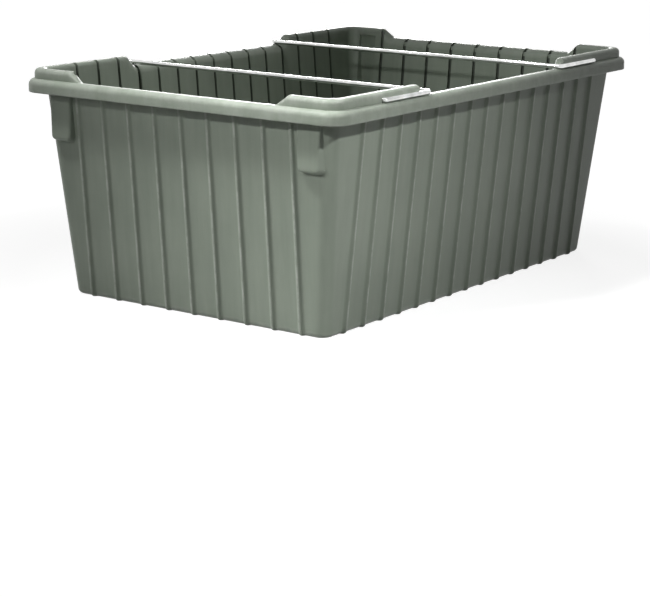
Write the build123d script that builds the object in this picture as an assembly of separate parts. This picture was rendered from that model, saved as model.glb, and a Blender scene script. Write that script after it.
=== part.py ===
from build123d import *
import os
from math import atan, cos, degrees, floor, hypot, radians, sin, tan

# Overall size over the rim, in millimetres
LENGTH = 600.0
WIDTH = 400.0
HEIGHT = 240.0

# Tapered walls and floor of the moulding
WALL = 3.0
FLOOR = 3.5
DRAFT = 5.25
WALL_CORNER_R = 10.0
BASE_EDGE_R = 5.0
CAVITY_EDGE_R = 5.0

# Rolled rim: an inverted channel that overhangs the walls all round
RIM_OVERHANG = 16.6
RIM_DEPTH = 14.0
RIM_CORNER_R = 22.0
RIM_OUTER_R = 6.5
RIM_INNER_R = 11.0
RIM_SHELL = 3.0

# Raised corners of the rim, set back behind a ledge, with sloped ends
CORNER_RISE = 10.5
LEDGE = 6.4
END_LEG = 62.5
SIDE_LEG = 151.0
SLOPE_RUN = 13.5
CREST_OUTER_R = 5.0
CREST_INNER_R = 5.0
SHOULDER_R = 3.0

# Stiffening ribs, each a bead outside and a narrow groove inside
RIB_WIDTH = 6.0
RIB_HEIGHT = 3.0
RIB_CREST_R = 2.4
RIB_FOOT_R = 4.0
RIB_ROOT = 1.0
END_RIB_PITCH = 33.8
SIDE_RIB_PITCH = 33.1
RIB_TO_CORNER = 10.0
GROOVE_WIDTH = 3.0
GROOVE_DEPTH = 2.0
GROOVE_END_ANGLE = 86.0

# Hollow nesting lugs on the end walls, under the raised corners
LUG_WIDTH = 32.0
LUG_SIDE_TAPER = 5.9
LUG_FLANK_ANGLE = 25.0
LUG_DROP = 48.0
LUG_STAND = 3.2
LUG_WALL = 2.5
LUG_CORNER_R = 4.0
LUG_EDGE_R = 2.5
LUG_FROM_RIM = 42.7
POCKET_ABOVE_CREST = 0.5

# Wire bails
WIRE_D = 4.8
BAIL_INSET = 3.5
BAIL_BEND_R = 6.5
PIN_BEND_R = 2.9
PIN_REACH = 4.0
PIN_TIP_R = 0.8
PIVOT_CLEARANCE = 0.06
REST_GAP = 0.3
SLOPE_GAP = 3.0

# Overlap that lets one solid bite into the next before they are joined or cut
BITE = 1.0

# Heights and plan sizes that follow from the driving dimensions
crest_z = HEIGHT - CORNER_RISE
skirt_z = crest_z - RIM_DEPTH
draft_slope = tan(radians(DRAFT))
base_half_length = LENGTH / 2 - RIM_OVERHANG - skirt_z * draft_slope
base_half_width = WIDTH / 2 - RIM_OVERHANG - skirt_z * draft_slope
slope_rate = SLOPE_RUN / CORNER_RISE

# The crossbar rests at the foot of the slopes and, swung over, on the end ledge
crossbar_x = LENGTH / 2 - SIDE_LEG - SLOPE_RUN - SLOPE_GAP
ledge_bar_x = LENGTH / 2 - BAIL_INSET
pivot_x = (crossbar_x + ledge_bar_x) / 2
pivot_z = crest_z + WIRE_D / 2 + REST_GAP


def wall_prism(bottom, top, inset=0.0):
    """Tapered block inside the walls' outer face, its corners rounded alike all the way up."""
    outlines = []
    for z in (bottom, top):
        grow = z * draft_slope - inset
        outline = Rectangle(2 * (base_half_length + grow), 2 * (base_half_width + grow))
        outlines.append(Pos(0, 0, z) * outline)
    block = loft(outlines, ruled=True)
    corners = block.edges().filter_by(lambda edge: abs((edge % 0.5).Z) > cos(radians(45)))
    return fillet(corners, WALL_CORNER_R - inset)


def rim_prism(inset, bottom, top):
    """Straight block with the rim's plan outline, drawn in by an inset."""
    outline = RectangleRounded(LENGTH - 2 * inset, WIDTH - 2 * inset, RIM_CORNER_R - inset)
    return extrude(Pos(0, 0, bottom) * outline, amount=top - bottom)


def edges_at(solid, z):
    """Edges that lie flat at a height."""
    return solid.edges().filter_by_position(Axis.Z, z, z)


def round_top(solid, outer_r, inner_r):
    """Round the outer and the inner loop of a ring's top face."""
    top = solid.faces().filter_by(Axis.Z).sort_by(Axis.Z)[-1]
    solid = fillet(top.outer_wire().edges(), outer_r)
    top = solid.faces().filter_by(Axis.Z).sort_by(Axis.Z)[-1]
    return fillet(top.inner_wires()[0].edges(), inner_r)


def mirrored_ends(shape):
    """A shape and its mirror image at the other end."""
    return [shape, mirror(shape, about=Plane.YZ)]


def mirrored_sides(shape):
    """A shape and its mirror image at the other side."""
    return [shape, mirror(shape, about=Plane.XZ)]


def four_corners(shape):
    """A shape at one corner, repeated at all four."""
    return [copy for half in mirrored_ends(shape) for copy in mirrored_sides(half)]


def cavity():
    """Space inside the walls, open at the top."""
    space = wall_prism(FLOOR, HEIGHT + BITE, WALL)
    return fillet(edges_at(space, FLOOR), CAVITY_EDGE_R)


def low_shell():
    """Floor, walls and the rolled rim at its low height."""
    walls = wall_prism(0, crest_z)
    walls = fillet(edges_at(walls, 0), BASE_EDGE_R)
    block = walls + rim_prism(0, skirt_z, crest_z) - cavity()
    return round_top(block, RIM_OUTER_R, RIM_INNER_R)


def corner_block(inset):
    """Block with sloped sides that holds one raised corner, drawn in from its slopes."""
    shift = inset * hypot(1, slope_rate)
    bottom = skirt_z - BITE
    height = HEIGHT + BITE - bottom
    spread = height * slope_rate
    near_x = LENGTH / 2 - SIDE_LEG - (HEIGHT - bottom) * slope_rate + shift
    near_y = WIDTH / 2 - END_LEG - (HEIGHT - bottom) * slope_rate + shift
    size_x = LENGTH / 2 + spread - near_x
    size_y = WIDTH / 2 + spread - near_y
    outline = Pos(near_x, near_y, bottom) * Rectangle(size_x, size_y, align=(Align.MIN, Align.MIN))
    return extrude(outline, amount=height, taper=degrees(atan(slope_rate)))


def round_shoulders(corner):
    """Round the edges where a raised corner's crest turns down into its slopes."""
    flats = corner.faces().filter_by(GeomType.PLANE)
    slopes = flats.filter_by(lambda face: draft_slope < face.normal_at().Z < cos(radians(DRAFT)))
    shoulders = edges_at(slopes, HEIGHT)
    return fillet(shoulders, SHOULDER_R)


def raised_corners():
    """The four stretches of higher rim round the corners."""
    ring = rim_prism(LEDGE, crest_z - RIM_INNER_R - BITE, HEIGHT) - cavity()
    ring = round_top(ring, CREST_OUTER_R, CREST_INNER_R)
    return four_corners(round_shoulders(ring & corner_block(0)))


def rim_channel():
    """Hollow under the rim, between its skirt and the walls."""
    hollow = rim_prism(RIM_SHELL, skirt_z - BITE, crest_z - RIM_SHELL)
    hollow = hollow - wall_prism(skirt_z - 2 * BITE, crest_z)
    return round_top(hollow, RIM_OUTER_R - RIM_SHELL, RIM_INNER_R - RIM_SHELL)


def corner_hollows():
    """Hollows inside the raised corners, open to the channel below."""
    hollow = rim_prism(LEDGE + RIM_SHELL, skirt_z - BITE, HEIGHT - RIM_SHELL)
    hollow = hollow - wall_prism(skirt_z - 2 * BITE, HEIGHT)
    return [hollow & block for block in four_corners(corner_block(RIM_SHELL))]


def rib_places(half_base, pitch):
    """Rib centres along a wall, evenly spaced about its middle and clear of its corners."""
    last = floor((half_base - WALL_CORNER_R - RIB_TO_CORNER) / pitch)
    return [index * pitch for index in range(-last, last + 1)]


def rib_bead():
    """Section of a rib, standing on the wall's outer face and rooted in the wall."""
    bead = Rectangle(RIB_WIDTH, RIB_HEIGHT + RIB_ROOT, align=(Align.CENTER, Align.MIN))
    bead = Pos(0, -RIB_ROOT) * bead
    return fillet(bead.vertices().sort_by(Axis.Y)[-2:], RIB_CREST_R)


def rib_on(foot, along, rise, envelope):
    """One rib up a wall, from its foot on the base edge to the underside of the rim."""
    plane = Plane(origin=foot, x_dir=along, z_dir=rise).offset(-RIB_ROOT)
    length = (crest_z - RIM_SHELL + BITE) / cos(radians(DRAFT)) + RIB_ROOT
    return extrude(plane * rib_bead(), amount=length) & envelope


def ribs():
    """All outer ribs, with their feet rounded into the base edge."""
    envelope = wall_prism(0, crest_z, -RIB_HEIGHT - RIB_ROOT)
    envelope = fillet(edges_at(envelope, 0), RIB_FOOT_R)
    lean = sin(radians(DRAFT))
    rise = cos(radians(DRAFT))
    beads = []
    for y in rib_places(base_half_width, END_RIB_PITCH):
        bead = rib_on((-base_half_length, y, 0), (0, 1, 0), (-lean, 0, rise), envelope)
        beads += mirrored_ends(bead)
    for x in rib_places(base_half_length, SIDE_RIB_PITCH):
        bead = rib_on((x, -base_half_width, 0), (-1, 0, 0), (0, -lean, rise), envelope)
        beads += mirrored_sides(bead)
    return beads


def groove_profile(half_base, top, round_r):
    """Side view of a groove: up the inner wall and over the rounding of the rim's inner edge.

    The first coordinate runs outwards from the middle of the box, the second upwards.
    """
    lean = radians(DRAFT)
    end = radians(GROOVE_END_ANGLE)
    low = FLOOR + CAVITY_EDGE_R
    inner_low = half_base + low * draft_slope - WALL
    inner_top = half_base + top * draft_slope - WALL
    centre_z = top - round_r
    centre_n = half_base + centre_z * draft_slope - WALL + round_r / cos(lean)
    centre = Vector(centre_n, centre_z)
    deep_r = round_r - GROOVE_DEPTH
    foot = Vector(inner_low + GROOVE_DEPTH / cos(lean), low)
    start = centre + Vector(-cos(lean), sin(lean)) * deep_r
    middle = centre + Vector(-cos((lean + end) / 2), sin((lean + end) / 2)) * deep_r
    finish = centre + Vector(-cos(end), sin(end)) * deep_r
    outside = centre + Vector(-cos(end), sin(end)) * (round_r + BITE)
    back = Polyline(finish, outside, (inner_top - 2 * BITE, outside.Y), (inner_low - BITE, low), foot)
    return make_face([Line(foot, start), ThreePointArc(start, middle, finish)] + back.edges())


def grooves():
    """Cutters for the narrow grooves inside the box, one behind each rib."""
    slope_foot_y = WIDTH / 2 - END_LEG - SLOPE_RUN
    slope_foot_x = LENGTH / 2 - SIDE_LEG - SLOPE_RUN
    cutters = []
    for y in rib_places(base_half_width, END_RIB_PITCH):
        raised = abs(y) + GROOVE_WIDTH / 2 > slope_foot_y
        profile = rim_groove_profile(base_half_length, raised)
        cutter = extrude(Plane.XZ.reverse() * profile, amount=GROOVE_WIDTH / 2, both=True)
        cutters += mirrored_ends(Pos(0, y, 0) * cutter)
    for x in rib_places(base_half_length, SIDE_RIB_PITCH):
        raised = abs(x) + GROOVE_WIDTH / 2 > slope_foot_x
        profile = rim_groove_profile(base_half_width, raised)
        cutter = extrude(Plane.YZ * profile, amount=GROOVE_WIDTH / 2, both=True)
        cutters += mirrored_sides(Pos(x, 0, 0) * cutter)
    return cutters


def rim_groove_profile(half_base, raised):
    """Groove profile for a rib under the low rim or under a raised corner."""
    if raised:
        return groove_profile(half_base, HEIGHT, CREST_INNER_R)
    return groove_profile(half_base, crest_z, RIM_INNER_R)


def lug_outline(top, margin):
    """Front view of a lug, narrowing downwards, drawn in by a margin."""
    bottom = skirt_z - LUG_DROP + margin
    half_top = LUG_WIDTH / 2 - margin
    half_bottom = half_top - LUG_SIDE_TAPER
    face = make_face(Polyline((-half_bottom, bottom), (half_bottom, bottom), (half_top, top),
                              (-half_top, top), close=True))
    return fillet(face.vertices().sort_by(Axis.Y)[:2], LUG_CORNER_R - margin)


def lug_solid(margin, top):
    """Block behind a lug's outline at the -X, -Y corner, widening from its upright face to its root."""
    wall_face = LENGTH / 2 - RIM_OVERHANG
    face_x = -(wall_face + LUG_STAND - margin)
    root_x = -(wall_face - LUG_DROP * draft_slope - WALL - LUG_STAND)
    centre_y = -(WIDTH / 2 - LUG_FROM_RIM)
    plane = Plane(origin=(face_x, centre_y, 0), x_dir=(0, 1, 0), z_dir=(1, 0, 0))
    return extrude(plane * lug_outline(top, margin), amount=root_x - face_x, taper=-LUG_FLANK_ANGLE)


def lugs():
    """Outer bodies of the four lugs, their front edges rounded, running up inside the rim."""
    body = lug_solid(0, crest_z + POCKET_ABOVE_CREST + LUG_WALL)
    front = body.faces().sort_by(Axis.X)[0]
    body = fillet(front.edges().sort_by(Axis.Z)[:-1], LUG_EDGE_R)
    return four_corners(body - cavity())


def lug_pockets():
    """Cutters for the hollow of each lug, open to the inside of the box."""
    return four_corners(lug_solid(LUG_WALL, crest_z + POCKET_ABOVE_CREST))


def pivot_holes():
    """Cutters for the bail holes through the upright face of the raised corners."""
    depth = LEDGE + RIM_SHELL + BITE
    hole = Cylinder(WIRE_D / 2 + PIVOT_CLEARANCE, depth, align=(Align.CENTER, Align.CENTER, Align.MIN))
    placed = Pos(-pivot_x, -WIDTH / 2, pivot_z) * Rot(X=-90) * hole
    return four_corners(placed)


def tub():
    """The whole moulding as one solid."""
    body = low_shell() + raised_corners()
    body = body - rim_channel() - corner_hollows()
    body = body + ribs() + lugs()
    return body - grooves() - lug_pockets() - pivot_holes()


def bail():
    """The wire at the -X end: crossbar, two arms and two pins turned into the raised corners."""
    arm_y = WIDTH / 2 - BAIL_INSET
    tip_y = WIDTH / 2 - LEDGE - RIM_SHELL - PIN_REACH
    points = [
        (-pivot_x, -tip_y, pivot_z),
        (-pivot_x, -arm_y, pivot_z),
        (-crossbar_x, -arm_y, pivot_z),
        (-crossbar_x, arm_y, pivot_z),
        (-pivot_x, arm_y, pivot_z),
        (-pivot_x, tip_y, pivot_z),
    ]
    path = FilletPolyline(*points, radius=[PIN_BEND_R, BAIL_BEND_R, BAIL_BEND_R, PIN_BEND_R])
    section = Plane(origin=path @ 0, z_dir=path % 0) * Circle(WIRE_D / 2)
    wire = sweep(section, path=path)
    tips = wire.faces().filter_by(Axis.Y).edges()
    return fillet(tips, PIN_TIP_R)


def main():
    """Build the three pieces and write one file for each."""
    front = bail()
    pieces = {"tub": tub(), "front_bail": front, "rear_bail": mirror(front, about=Plane.YZ)}
    os.makedirs("parts", exist_ok=True)
    for name, piece in pieces.items():
        export_step(piece, f"parts/{name}.step")
        print(name, "solids", len(piece.solids()), "volume", round(piece.volume), "valid", piece.is_valid)
    print("pivot", round(pivot_x, 3), round(pivot_z, 3), "crossbar", round(crossbar_x, 3))


main()
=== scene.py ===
import logging
import math
from dataclasses import dataclass, field, replace
from enum import Enum
from typing import Any, Iterable, Sequence

import bpy
import numpy as np
from mathutils import Matrix, Vector


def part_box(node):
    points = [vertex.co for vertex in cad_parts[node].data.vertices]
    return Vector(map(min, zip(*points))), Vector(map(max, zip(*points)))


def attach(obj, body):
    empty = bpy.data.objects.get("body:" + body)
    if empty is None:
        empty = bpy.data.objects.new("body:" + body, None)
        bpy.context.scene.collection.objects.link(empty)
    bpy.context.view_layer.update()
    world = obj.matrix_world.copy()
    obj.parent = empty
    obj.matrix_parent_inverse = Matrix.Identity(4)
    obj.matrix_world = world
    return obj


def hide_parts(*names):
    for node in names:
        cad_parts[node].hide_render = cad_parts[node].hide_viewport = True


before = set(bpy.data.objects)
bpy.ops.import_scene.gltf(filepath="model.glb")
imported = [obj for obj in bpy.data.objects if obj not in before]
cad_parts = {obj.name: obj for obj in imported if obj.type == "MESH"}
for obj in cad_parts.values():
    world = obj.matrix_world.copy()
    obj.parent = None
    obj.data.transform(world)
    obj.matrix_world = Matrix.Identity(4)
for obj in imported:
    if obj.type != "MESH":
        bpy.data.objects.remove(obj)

LOG = logging.getLogger("tote")
MM = 0.001
WHITE = (1.0, 1.0, 1.0, 1.0)
NONE_TO_FULL = (0.0, 1.0)
FULL_TO_NONE = (1.0, 0.0)
# Sockets of a Mix node that mixes colours.
MIX_SHARE, MIX_FIRST, MIX_SECOND, MIX_RESULT = 0, 6, 7, 2
# Edges that turn more sharply than this are shaded as edges.
MOULDING_CREASE = math.radians(38.0)
WIRE_CREASE = math.radians(50.0)
# The corners of a line turn with the radius of the walls, with that of the rim, or between the two.
WALL_CORNER = 0.0
RIM_CORNER = 1.0
# A reach that pushes no station out.
NO_PUSH = -1.0
FLIP_X = np.array((-1.0, 1.0, 1.0))
FLIP_Y = np.array((1.0, -1.0, 1.0))

Colour = tuple[float, float, float, float]
Range = tuple[float, float]
Point = tuple[float, float]
Triple = tuple[float, float, float]
Steps = tuple[float, ...]
Number = np.ndarray | float
Socket = bpy.types.NodeSocket


class Body(Enum):
    """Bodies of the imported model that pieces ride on."""

    TUB = "tub"
    FRONT_BAIL = "front_bail"
    REAR_BAIL = "rear_bail"


class Slot(Enum):
    """Names of two material slots, moulding and wire."""

    MOULDING = "moulding"
    WIRE = "wire"


class Wall(Enum):
    """The four walls of the tub, each with its turn about the upright axis from the +X wall."""

    REAR = 0.0
    RIGHT = 0.5 * math.pi
    FRONT = math.pi
    LEFT = 1.5 * math.pi

    @property
    def is_end(self) -> bool:
        """True for the two short walls."""
        return self in (Wall.REAR, Wall.FRONT)


@dataclass(frozen=True)
class Pattern:
    """A noise pattern: cells in a metre, finer octaves, their strength and a stretch of its axes."""

    scale: float
    detail: float
    roughness: float = 0.5
    stretch: Triple | None = None


class NodeTree:
    """Adds and links the nodes of one shader or geometry tree."""

    def __init__(self, tree: bpy.types.NodeTree) -> None:
        """Keep the tree that nodes are added to."""
        self.tree = tree

    def add(self, kind: str, inputs: dict[Any, Any] | None = None, **settings: Any) -> bpy.types.Node:
        """Add a node, set its options and set or link its inputs.

        Args:
            kind: Type name of the node.
            inputs: Input name or index to a value, or to an output socket that is linked to it.
            **settings: Options of the node.

        Returns:
            The new node.
        """
        node = self.tree.nodes.new(kind)
        for name, value in settings.items():
            setattr(node, name, value)
        for key, value in (inputs or {}).items():
            if isinstance(value, Socket):
                self.tree.links.new(value, node.inputs[key])
            else:
                node.inputs[key].default_value = value
        return node

    def math(self, operation: str, first: Any, second: Any) -> Socket:
        """Add a Math node on two operands, numbers or sockets, and return its output."""
        return self.add("ShaderNodeMath", {0: first, 1: second}, operation=operation).outputs[0]

    def plus(self, first: Socket, second: Socket, share: float) -> Socket:
        """Add a share of the second value to the first and return the sum."""
        return self.math("ADD", first, self.math("MULTIPLY", second, share))

    def spread(self, value: Socket, source: Range, target: Range) -> Socket:
        """Map a range of values to another range, clamped.

        Args:
            value: The value to map.
            source: Start and end of the range that is read.
            target: What the start and the end become.

        Returns:
            The mapped value.
        """
        inputs = {"Value": value, "From Min": source[0], "From Max": source[1],
                  "To Min": target[0], "To Max": target[1]}
        return self.add("ShaderNodeMapRange", inputs).outputs["Result"]

    def mix_colour(self, share: Socket, first: Any, second: Any) -> Socket:
        """Mix two colours by the share of the second and return the mixed colour."""
        inputs = {MIX_SHARE: share, MIX_FIRST: first, MIX_SECOND: second}
        return self.add("ShaderNodeMix", inputs, data_type="RGBA").outputs[MIX_RESULT]

    def noise(self, pattern: Pattern, place: Socket) -> Socket:
        """Add a noise pattern.

        Args:
            pattern: The pattern.
            place: Where it is read.

        Returns:
            The pattern's value, about 0 to 1.
        """
        if pattern.stretch is not None:
            mapping = self.add("ShaderNodeMapping", {"Vector": place, "Scale": pattern.stretch})
            place = mapping.outputs["Vector"]
        inputs = {"Vector": place, "Scale": pattern.scale, "Detail": pattern.detail,
                  "Roughness": pattern.roughness}
        return self.add("ShaderNodeTexNoise", inputs).outputs["Fac"]

    def surface(self, colour: Socket, gloss: Socket, height: Socket, relief: Range,
                more: dict[str, float]) -> None:
        """Add the surface and the output of a material.

        Args:
            colour: Colour of the surface.
            gloss: Roughness of the surface.
            height: Pattern that stands out of the surface.
            relief: Strength and depth of that pattern.
            more: Further inputs of the surface, by name.
        """
        bump = self.add("ShaderNodeBump", {"Height": height, "Strength": relief[0], "Distance": relief[1]})
        inputs = {"Base Color": colour, "Roughness": gloss, "Normal": bump.outputs["Normal"], **more}
        shader = self.add("ShaderNodeBsdfPrincipled", inputs)
        self.add("ShaderNodeOutputMaterial", {"Surface": shader.outputs["BSDF"]})


def new_material(name: str) -> tuple[bpy.types.Material, NodeTree, Socket]:
    """Make a node material that has no surface yet.

    Args:
        name: Name of the material.

    Returns:
        The material, its tree and the place on the object.
    """
    material = bpy.data.materials.new(name)
    material.use_nodes = True
    material.node_tree.nodes.clear()
    tree = NodeTree(material.node_tree)
    return material, tree, tree.add("ShaderNodeTexCoord").outputs["Object"]


def seen_directly(tree: NodeTree) -> Socket:
    """Find the rays that show a backdrop: straight, mirrored or through glass.

    Args:
        tree: The tree that needs to know.

    Returns:
        1 for such rays and 0 for those that only carry light.
    """
    path = tree.add("ShaderNodeLightPath").outputs
    mirrored = tree.math("MAXIMUM", path["Is Glossy Ray"], path["Is Transmission Ray"])
    return tree.math("MAXIMUM", path["Is Camera Ray"], mirrored)


@dataclass(frozen=True)
class MouldedPlastic:
    """Satin grey-green polyethylene: grain, draw marks, scuffs with painted highlight, painted groove shade
    and a few specks.

    A range holds the pattern's values between which a change runs, and shares hold what those values become.
    Of the speck_cells in a metre, speck_chance hold a speck. relief is the strength of the bumps and their
    depth.
    """

    deep: Colour = (0.190, 0.222, 0.180, 1.0)
    pale: Colour = (0.262, 0.298, 0.245, 1.0)
    # Pale neutral scuff colour, also painted on the rim's edges and the rib crests as highlight.
    scuff_highlight_colour: Colour = (0.43, 0.445, 0.41, 1.0)
    speck: Colour = (0.055, 0.065, 0.05, 1.0)
    # Near-black colour painted into the grooves as shade.
    groove_shade_colour: Colour = (0.022, 0.026, 0.020, 1.0)
    mottle: Pattern = Pattern(7.0, 4.0, 0.55)
    draw_marks: Pattern = Pattern(1.0, 5.0, 0.6, stretch=(90.0, 90.0, 5.0))
    grain: Pattern = Pattern(1400.0, 2.0)
    patches: Pattern = Pattern(55.0, 5.0, 0.65)
    mottle_share: float = 0.55
    mark_share: float = 0.35
    grain_share: float = 0.1
    tone_range: Range = (0.32, 0.68)
    patch_range: Range = (0.42, 0.66)
    patch_shares: Range = (0.15, 1.0)
    scuff_highlight_share: float = 0.5
    speck_cells: float = 38.0
    speck_range: Range = (0.03, 0.055)
    speck_chance: float = 0.07
    speck_share: float = 0.7
    # The mottle breaks the painted groove shade up between these shares.
    groove_shade_range: Range = (0.3, 0.7)
    groove_shade_shares: Range = (0.75, 0.95)
    scuff_gloss: float = 0.3
    gloss_range: Range = (0.3, 0.8)
    roughness: Range = (0.34, 0.50)
    mark_relief: float = 0.6
    relief: Range = (0.22, 0.25 * MM)
    shine: float = 0.25

    def build(self) -> bpy.types.Material:
        """Build the material.

        Returns:
            The finished material.
        """
        material, tree, place = new_material("grey_green_moulding")
        mottle = tree.noise(self.mottle, place)
        marks = tree.noise(self.draw_marks, place)
        grain = tree.noise(self.grain, place)
        tone = tree.plus(tree.math("MULTIPLY", mottle, self.mottle_share), marks, self.mark_share)
        tone = tree.plus(tone, grain, self.grain_share)
        colour = tree.mix_colour(tree.spread(tone, self.tone_range, NONE_TO_FULL), self.deep, self.pale)
        scuff_highlight = self.scuffs_and_highlights(tree, place)
        # Lighter edges: partly scuffing, partly painted highlight.
        colour = tree.mix_colour(scuff_highlight, colour, self.scuff_highlight_colour)
        colour = tree.mix_colour(self.specks(tree, place), colour, self.speck)
        # Painted shade darkens the grooves.
        colour = tree.mix_colour(self.groove_shade(tree, mottle), colour, self.groove_shade_colour)
        gloss = tree.spread(tree.plus(marks, scuff_highlight, self.scuff_gloss), self.gloss_range, self.roughness)
        height = tree.plus(grain, marks, self.mark_relief)
        tree.surface(colour, gloss, height, self.relief, {"Specular IOR Level": self.shine})
        return material

    def scuffs_and_highlights(self, tree: NodeTree, place: Socket) -> Socket:
        """Wear along the exposed edges, which also paints a highlight on them, broken up by noise.

        Args:
            tree: The material's tree.
            place: Where the pattern is read.

        Returns:
            Share of the scuffed colour, which is partly wear and partly painted highlight.
        """
        edge = tree.add("ShaderNodeAttribute", attribute_name="wear_and_highlight").outputs["Fac"]
        patches = tree.spread(tree.noise(self.patches, place), self.patch_range, self.patch_shares)
        return tree.math("MULTIPLY", tree.math("MULTIPLY", edge, patches), self.scuff_highlight_share)

    def specks(self, tree: NodeTree, place: Socket) -> Socket:
        """A few tiny dark specks.

        Args:
            tree: The material's tree.
            place: Where the pattern is read.

        Returns:
            Share of speck colour.
        """
        cells = tree.add("ShaderNodeTexVoronoi", {"Vector": place, "Scale": self.speck_cells}).outputs
        near = tree.spread(cells["Distance"], self.speck_range, FULL_TO_NONE)
        drawn = tree.add("ShaderNodeSeparateColor", {"Color": cells["Color"]}).outputs["Red"]
        chosen = tree.math("GREATER_THAN", drawn, 1.0 - self.speck_chance)
        return tree.math("MULTIPLY", tree.math("MULTIPLY", near, chosen), self.speck_share)

    def groove_shade(self, tree: NodeTree, mottle: Socket) -> Socket:
        """Share of painted shade in the grooves, broken up by the mottle."""
        share = tree.add("ShaderNodeAttribute", attribute_name="groove_shade").outputs["Fac"]
        return tree.math("MULTIPLY", share, tree.spread(mottle, self.groove_shade_range, self.groove_shade_shares))


@dataclass(frozen=True)
class PlatedWire:
    """Bright zinc-plated steel wire with fine lines from drawing and duller handled patches.

    The ranges and relief are as for the moulded plastic.
    """

    bright: Colour = (0.78, 0.79, 0.78, 1.0)
    dull: Colour = (0.50, 0.51, 0.50, 1.0)
    patches: Pattern = Pattern(45.0, 5.0, 0.6)
    lines: Pattern = Pattern(1800.0, 3.0)
    dull_range: Range = (0.38, 0.68)
    line_gloss: float = 0.3
    gloss_range: Range = (0.4, 0.9)
    roughness: Range = (0.06, 0.16)
    relief: Range = (0.15, 0.1 * MM)

    def build(self) -> bpy.types.Material:
        """Build the material.

        Returns:
            The finished material.
        """
        material, tree, place = new_material("zinc_plated_wire")
        patches = tree.noise(self.patches, place)
        lines = tree.noise(self.lines, place)
        colour = tree.mix_colour(tree.spread(patches, self.dull_range, NONE_TO_FULL), self.bright, self.dull)
        gloss = tree.spread(tree.plus(patches, lines, self.line_gloss), self.gloss_range, self.roughness)
        tree.surface(colour, gloss, lines, self.relief, {"Metallic": 1.0})
        return material


@dataclass(frozen=True)
class PaleFloor:
    """Plain pale floor that reads as white to the camera and keeps the shadow.

    lift is its glow near the object and far from it, and fade the distances between which that changes.
    """

    colour: Colour = (0.32, 0.32, 0.32, 1.0)
    roughness: float = 0.5
    lift: Range = (0.84, 1.0)
    fade: Range = (0.36, 0.66)

    def build(self) -> bpy.types.Material:
        """Build the material.

        Returns:
            The finished material.
        """
        material, tree, place = new_material("pale_floor")
        diffuse = tree.add("ShaderNodeBsdfDiffuse", {"Color": self.colour, "Roughness": self.roughness})
        far = tree.add("ShaderNodeVectorMath", {0: place}, operation="LENGTH").outputs["Value"]
        strength = tree.math("MULTIPLY", seen_directly(tree), tree.spread(far, self.fade, self.lift))
        glow = tree.add("ShaderNodeEmission", {"Color": WHITE, "Strength": strength})
        both = tree.add("ShaderNodeAddShader", {0: diffuse.outputs[0], 1: glow.outputs[0]})
        tree.add("ShaderNodeOutputMaterial", {"Surface": both.outputs[0]})
        return material


@dataclass(frozen=True)
class LugForm:
    """A lug or its pocket: an upright face that narrows downwards, and flanks that slope to the wall."""

    centre: float
    face: float
    bottom: float
    top: float
    half_bottom: float
    half_top: float
    corner: float
    edge: float
    lower_edge: float
    flank: float

    def between(self, low: float, high: float, height: Number) -> Number:
        """Value at a height, from one value at the lower edge to another at the upper edge."""
        share = np.clip((height - self.bottom) / (self.top - self.bottom), 0.0, 1.0)
        return low + (high - low) * share

    def rounding(self, height: Number) -> Number:
        """Radius of the rounded edge at a height; it grows downwards on a lug."""
        return self.between(self.lower_edge, self.edge, height)

    def half(self, height: Number) -> Number:
        """Half width of the face at a height."""
        return self.between(self.half_bottom, self.half_top, height)

    def run(self, height: Number) -> Number:
        """Width of the rounding on the face at a height, measured from the edge."""
        return self.rounding(height) * math.tan(0.25 * math.pi - 0.5 * self.flank)

    def outside(self, along: np.ndarray, height: np.ndarray) -> np.ndarray:
        """Distance outside the face's outline, negative inside it.

        Args:
            along: Distances from the middle of the wall.
            height: Heights of the same points.

        Returns:
            The distance at each point.
        """
        across = np.abs(along - self.centre) - self.half(height) + self.corner
        below = self.bottom + self.corner - height
        inner = np.minimum(np.maximum(across, below), 0.0)
        around = np.hypot(np.maximum(across, 0.0), np.maximum(below, 0.0)) + inner - self.corner
        return np.maximum(around, height - self.top)

    def reach(self, along: np.ndarray, height: np.ndarray) -> np.ndarray:
        """Reach of the face, its rounded edges and its flanks.

        Args:
            along: Distances from the middle of the wall.
            height: Heights of the same points.

        Returns:
            The reach at each point.
        """
        out = self.outside(along, height)
        radius, run = self.rounding(height), self.run(height)
        end = run * math.sin(self.flank)
        step = np.clip(out + run, 0.0, run + end)
        fall = radius - np.sqrt(radius ** 2 - step ** 2)
        return self.face - fall - np.maximum(out - end, 0.0) / math.tan(self.flank)


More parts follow.
